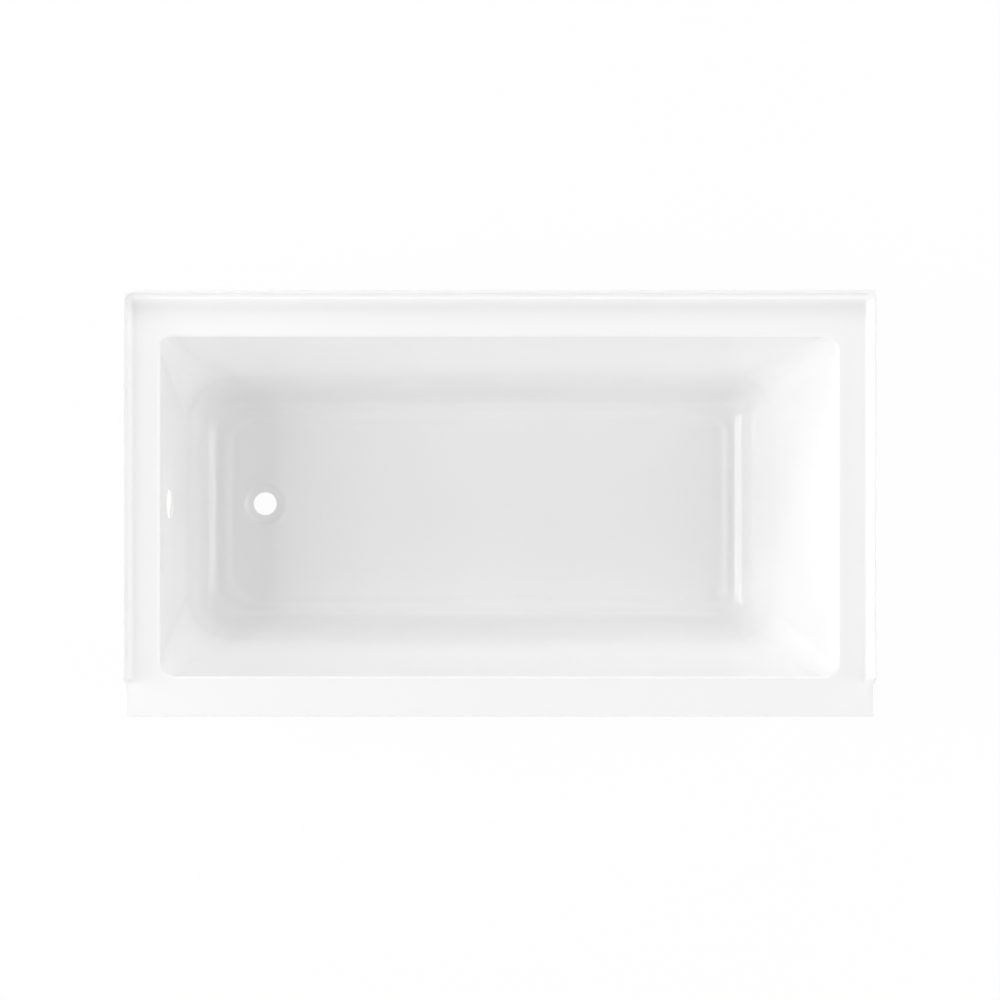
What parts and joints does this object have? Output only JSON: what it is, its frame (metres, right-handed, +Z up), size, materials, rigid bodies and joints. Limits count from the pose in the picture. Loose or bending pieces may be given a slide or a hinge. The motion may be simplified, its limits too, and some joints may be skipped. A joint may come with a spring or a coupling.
{
  "type": "bathtub",
  "caption": "Rectangular acrylic alcove bathtub with tile flange on three sides, apron front, drain at one end and levelling feet.",
  "frame": {"origin": "on the floor under the middle of the tub's box", "axes": "+X along the tub from the drain end to the backrest end, -Y towards the apron, +Z up"},
  "size_m": [1.524, 0.864, 0.546],
  "materials": {
    "white_acrylic": "high gloss thermoformed acrylic sheet",
    "fibreglass": "rough sprayed resin with chopped strands",
    "board": "raw particle board",
    "timber": "sawn softwood",
    "galvanised_steel": "galvanised strip with a fine spangle",
    "zinc_steel": "bright zinc plate",
    "pad_nylon": "moulded black nylon"
  },
  "bodies": {
    "tub": {"tub_shell": "white_acrylic", "fibreglass_backing": "fibreglass", "base_board": "board", "rim_batten_front": "timber", "rim_batten_back": "timber", "rim_batten_drain_end": "timber", "rim_batten_backrest_end": "timber", "cross_rail_drain_end": "galvanised_steel", "cross_rail_middle": "galvanised_steel", "cross_rail_backrest_end": "galvanised_steel", "rail_weld_nuts": "zinc_steel", "rail_screws": "zinc_steel", "apron_panel": "white_acrylic", "apron_top_batten": "timber", "apron_bottom_batten": "timber", "apron_post_left": "timber", "apron_post_middle": "timber", "apron_post_right": "timber", "apron_bracket_left": "galvanised_steel", "apron_bracket_middle": "galvanised_steel", "apron_bracket_right": "galvanised_steel", "apron_stay_drain_end": "galvanised_steel", "apron_stay_backrest_end": "galvanised_steel", "bracket_screws": "zinc_steel", "stay_screws": "zinc_steel"},
    "pad_drain_end_front": {"foot_pad_drain_end_front": "pad_nylon"},
    "stud_drain_end_front": {"foot_stud_drain_end_front": "zinc_steel"},
    "nut_drain_end_front": {"lock_nut_drain_end_front": "zinc_steel"},
    "pad_drain_end_back": {"foot_pad_drain_end_back": "pad_nylon"},
    "stud_drain_end_back": {"foot_stud_drain_end_back": "zinc_steel"},
    "nut_drain_end_back": {"lock_nut_drain_end_back": "zinc_steel"},
    "pad_middle_front": {"foot_pad_middle_front": "pad_nylon"},
    "stud_middle_front": {"foot_stud_middle_front": "zinc_steel"},
    "nut_middle_front": {"lock_nut_middle_front": "zinc_steel"},
    "pad_middle_back": {"foot_pad_middle_back": "pad_nylon"},
    "stud_middle_back": {"foot_stud_middle_back": "zinc_steel"},
    "nut_middle_back": {"lock_nut_middle_back": "zinc_steel"},
    "pad_backrest_end_front": {"foot_pad_backrest_end_front": "pad_nylon"},
    "stud_backrest_end_front": {"foot_stud_backrest_end_front": "zinc_steel"},
    "nut_backrest_end_front": {"lock_nut_backrest_end_front": "zinc_steel"},
    "pad_backrest_end_back": {"foot_pad_backrest_end_back": "pad_nylon"},
    "stud_backrest_end_back": {"foot_stud_backrest_end_back": "zinc_steel"},
    "nut_backrest_end_back": {"lock_nut_backrest_end_back": "zinc_steel"}
  },
  "joints": [
    {"name": "travel_drain_end_front", "type": "slide", "parent": "tub", "child": "pad_drain_end_front", "axis": [0, 0, -1], "range_m": [-0.008, 0.008]},
    {"name": "turn_drain_end_front", "type": "hinge", "parent": "pad_drain_end_front", "child": "stud_drain_end_front", "pos_m": [-0.4, -0.24029, 0.02], "axis": [0, 0, -1], "range_deg": [-1650, 1650]},
    {"name": "release_drain_end_front", "type": "slide", "parent": "tub", "child": "nut_drain_end_front", "axis": [0, 0, -1], "range_m": [0, 0.004]},
    {"name": "travel_drain_end_back", "type": "slide", "parent": "tub", "child": "pad_drain_end_back", "axis": [0, 0, -1], "range_m": [-0.008, 0.008]},
    {"name": "turn_drain_end_back", "type": "hinge", "parent": "pad_drain_end_back", "child": "stud_drain_end_back", "pos_m": [-0.4, 0.20971, 0.02], "axis": [0, 0, -1], "range_deg": [-1650, 1650]},
    {"name": "release_drain_end_back", "type": "slide", "parent": "tub", "child": "nut_drain_end_back", "axis": [0, 0, -1], "range_m": [0, 0.004]},
    {"name": "travel_middle_front", "type": "slide", "parent": "tub", "child": "pad_middle_front", "axis": [0, 0, -1], "range_m": [-0.008, 0.008]},
    {"name": "turn_middle_front", "type": "hinge", "parent": "pad_middle_front", "child": "stud_middle_front", "pos_m": [0, -0.24029, 0.02], "axis": [0, 0, -1], "range_deg": [-1650, 1650]},
    {"name": "release_middle_front", "type": "slide", "parent": "tub", "child": "nut_middle_front", "axis": [0, 0, -1], "range_m": [0, 0.004]},
    {"name": "travel_middle_back", "type": "slide", "parent": "tub", "child": "pad_middle_back", "axis": [0, 0, -1], "range_m": [-0.008, 0.008]},
    {"name": "turn_middle_back", "type": "hinge", "parent": "pad_middle_back", "child": "stud_middle_back", "pos_m": [0, 0.20971, 0.02], "axis": [0, 0, -1], "range_deg": [-1650, 1650]},
    {"name": "release_middle_back", "type": "slide", "parent": "tub", "child": "nut_middle_back", "axis": [0, 0, -1], "range_m": [0, 0.004]},
    {"name": "travel_backrest_end_front", "type": "slide", "parent": "tub", "child": "pad_backrest_end_front", "axis": [0, 0, -1], "range_m": [-0.008, 0.008]},
    {"name": "turn_backrest_end_front", "type": "hinge", "parent": "pad_backrest_end_front", "child": "stud_backrest_end_front", "pos_m": [0.4, -0.24029, 0.02], "axis": [0, 0, -1], "range_deg": [-1650, 1650]},
    {"name": "release_backrest_end_front", "type": "slide", "parent": "tub", "child": "nut_backrest_end_front", "axis": [0, 0, -1], "range_m": [0, 0.004]},
    {"name": "travel_backrest_end_back", "type": "slide", "parent": "tub", "child": "pad_backrest_end_back", "axis": [0, 0, -1], "range_m": [-0.008, 0.008]},
    {"name": "turn_backrest_end_back", "type": "hinge", "parent": "pad_backrest_end_back", "child": "stud_backrest_end_back", "pos_m": [0.4, 0.20971, 0.02], "axis": [0, 0, -1], "range_deg": [-1650, 1650]},
    {"name": "release_backrest_end_back", "type": "slide", "parent": "tub", "child": "nut_backrest_end_back", "axis": [0, 0, -1], "range_m": [0, 0.004]}
  ],
  "couplings": [
    {"joint": "turn_drain_end_front", "follows": "travel_drain_end_front", "rad_per_m": 3590.4},
    {"joint": "turn_drain_end_back", "follows": "travel_drain_end_back", "rad_per_m": 3590.4},
    {"joint": "turn_middle_front", "follows": "travel_middle_front", "rad_per_m": 3590.4},
    {"joint": "turn_middle_back", "follows": "travel_middle_back", "rad_per_m": 3590.4},
    {"joint": "turn_backrest_end_front", "follows": "travel_backrest_end_front", "rad_per_m": 3590.4},
    {"joint": "turn_backrest_end_back", "follows": "travel_backrest_end_back", "rad_per_m": 3590.4}
  ]
}
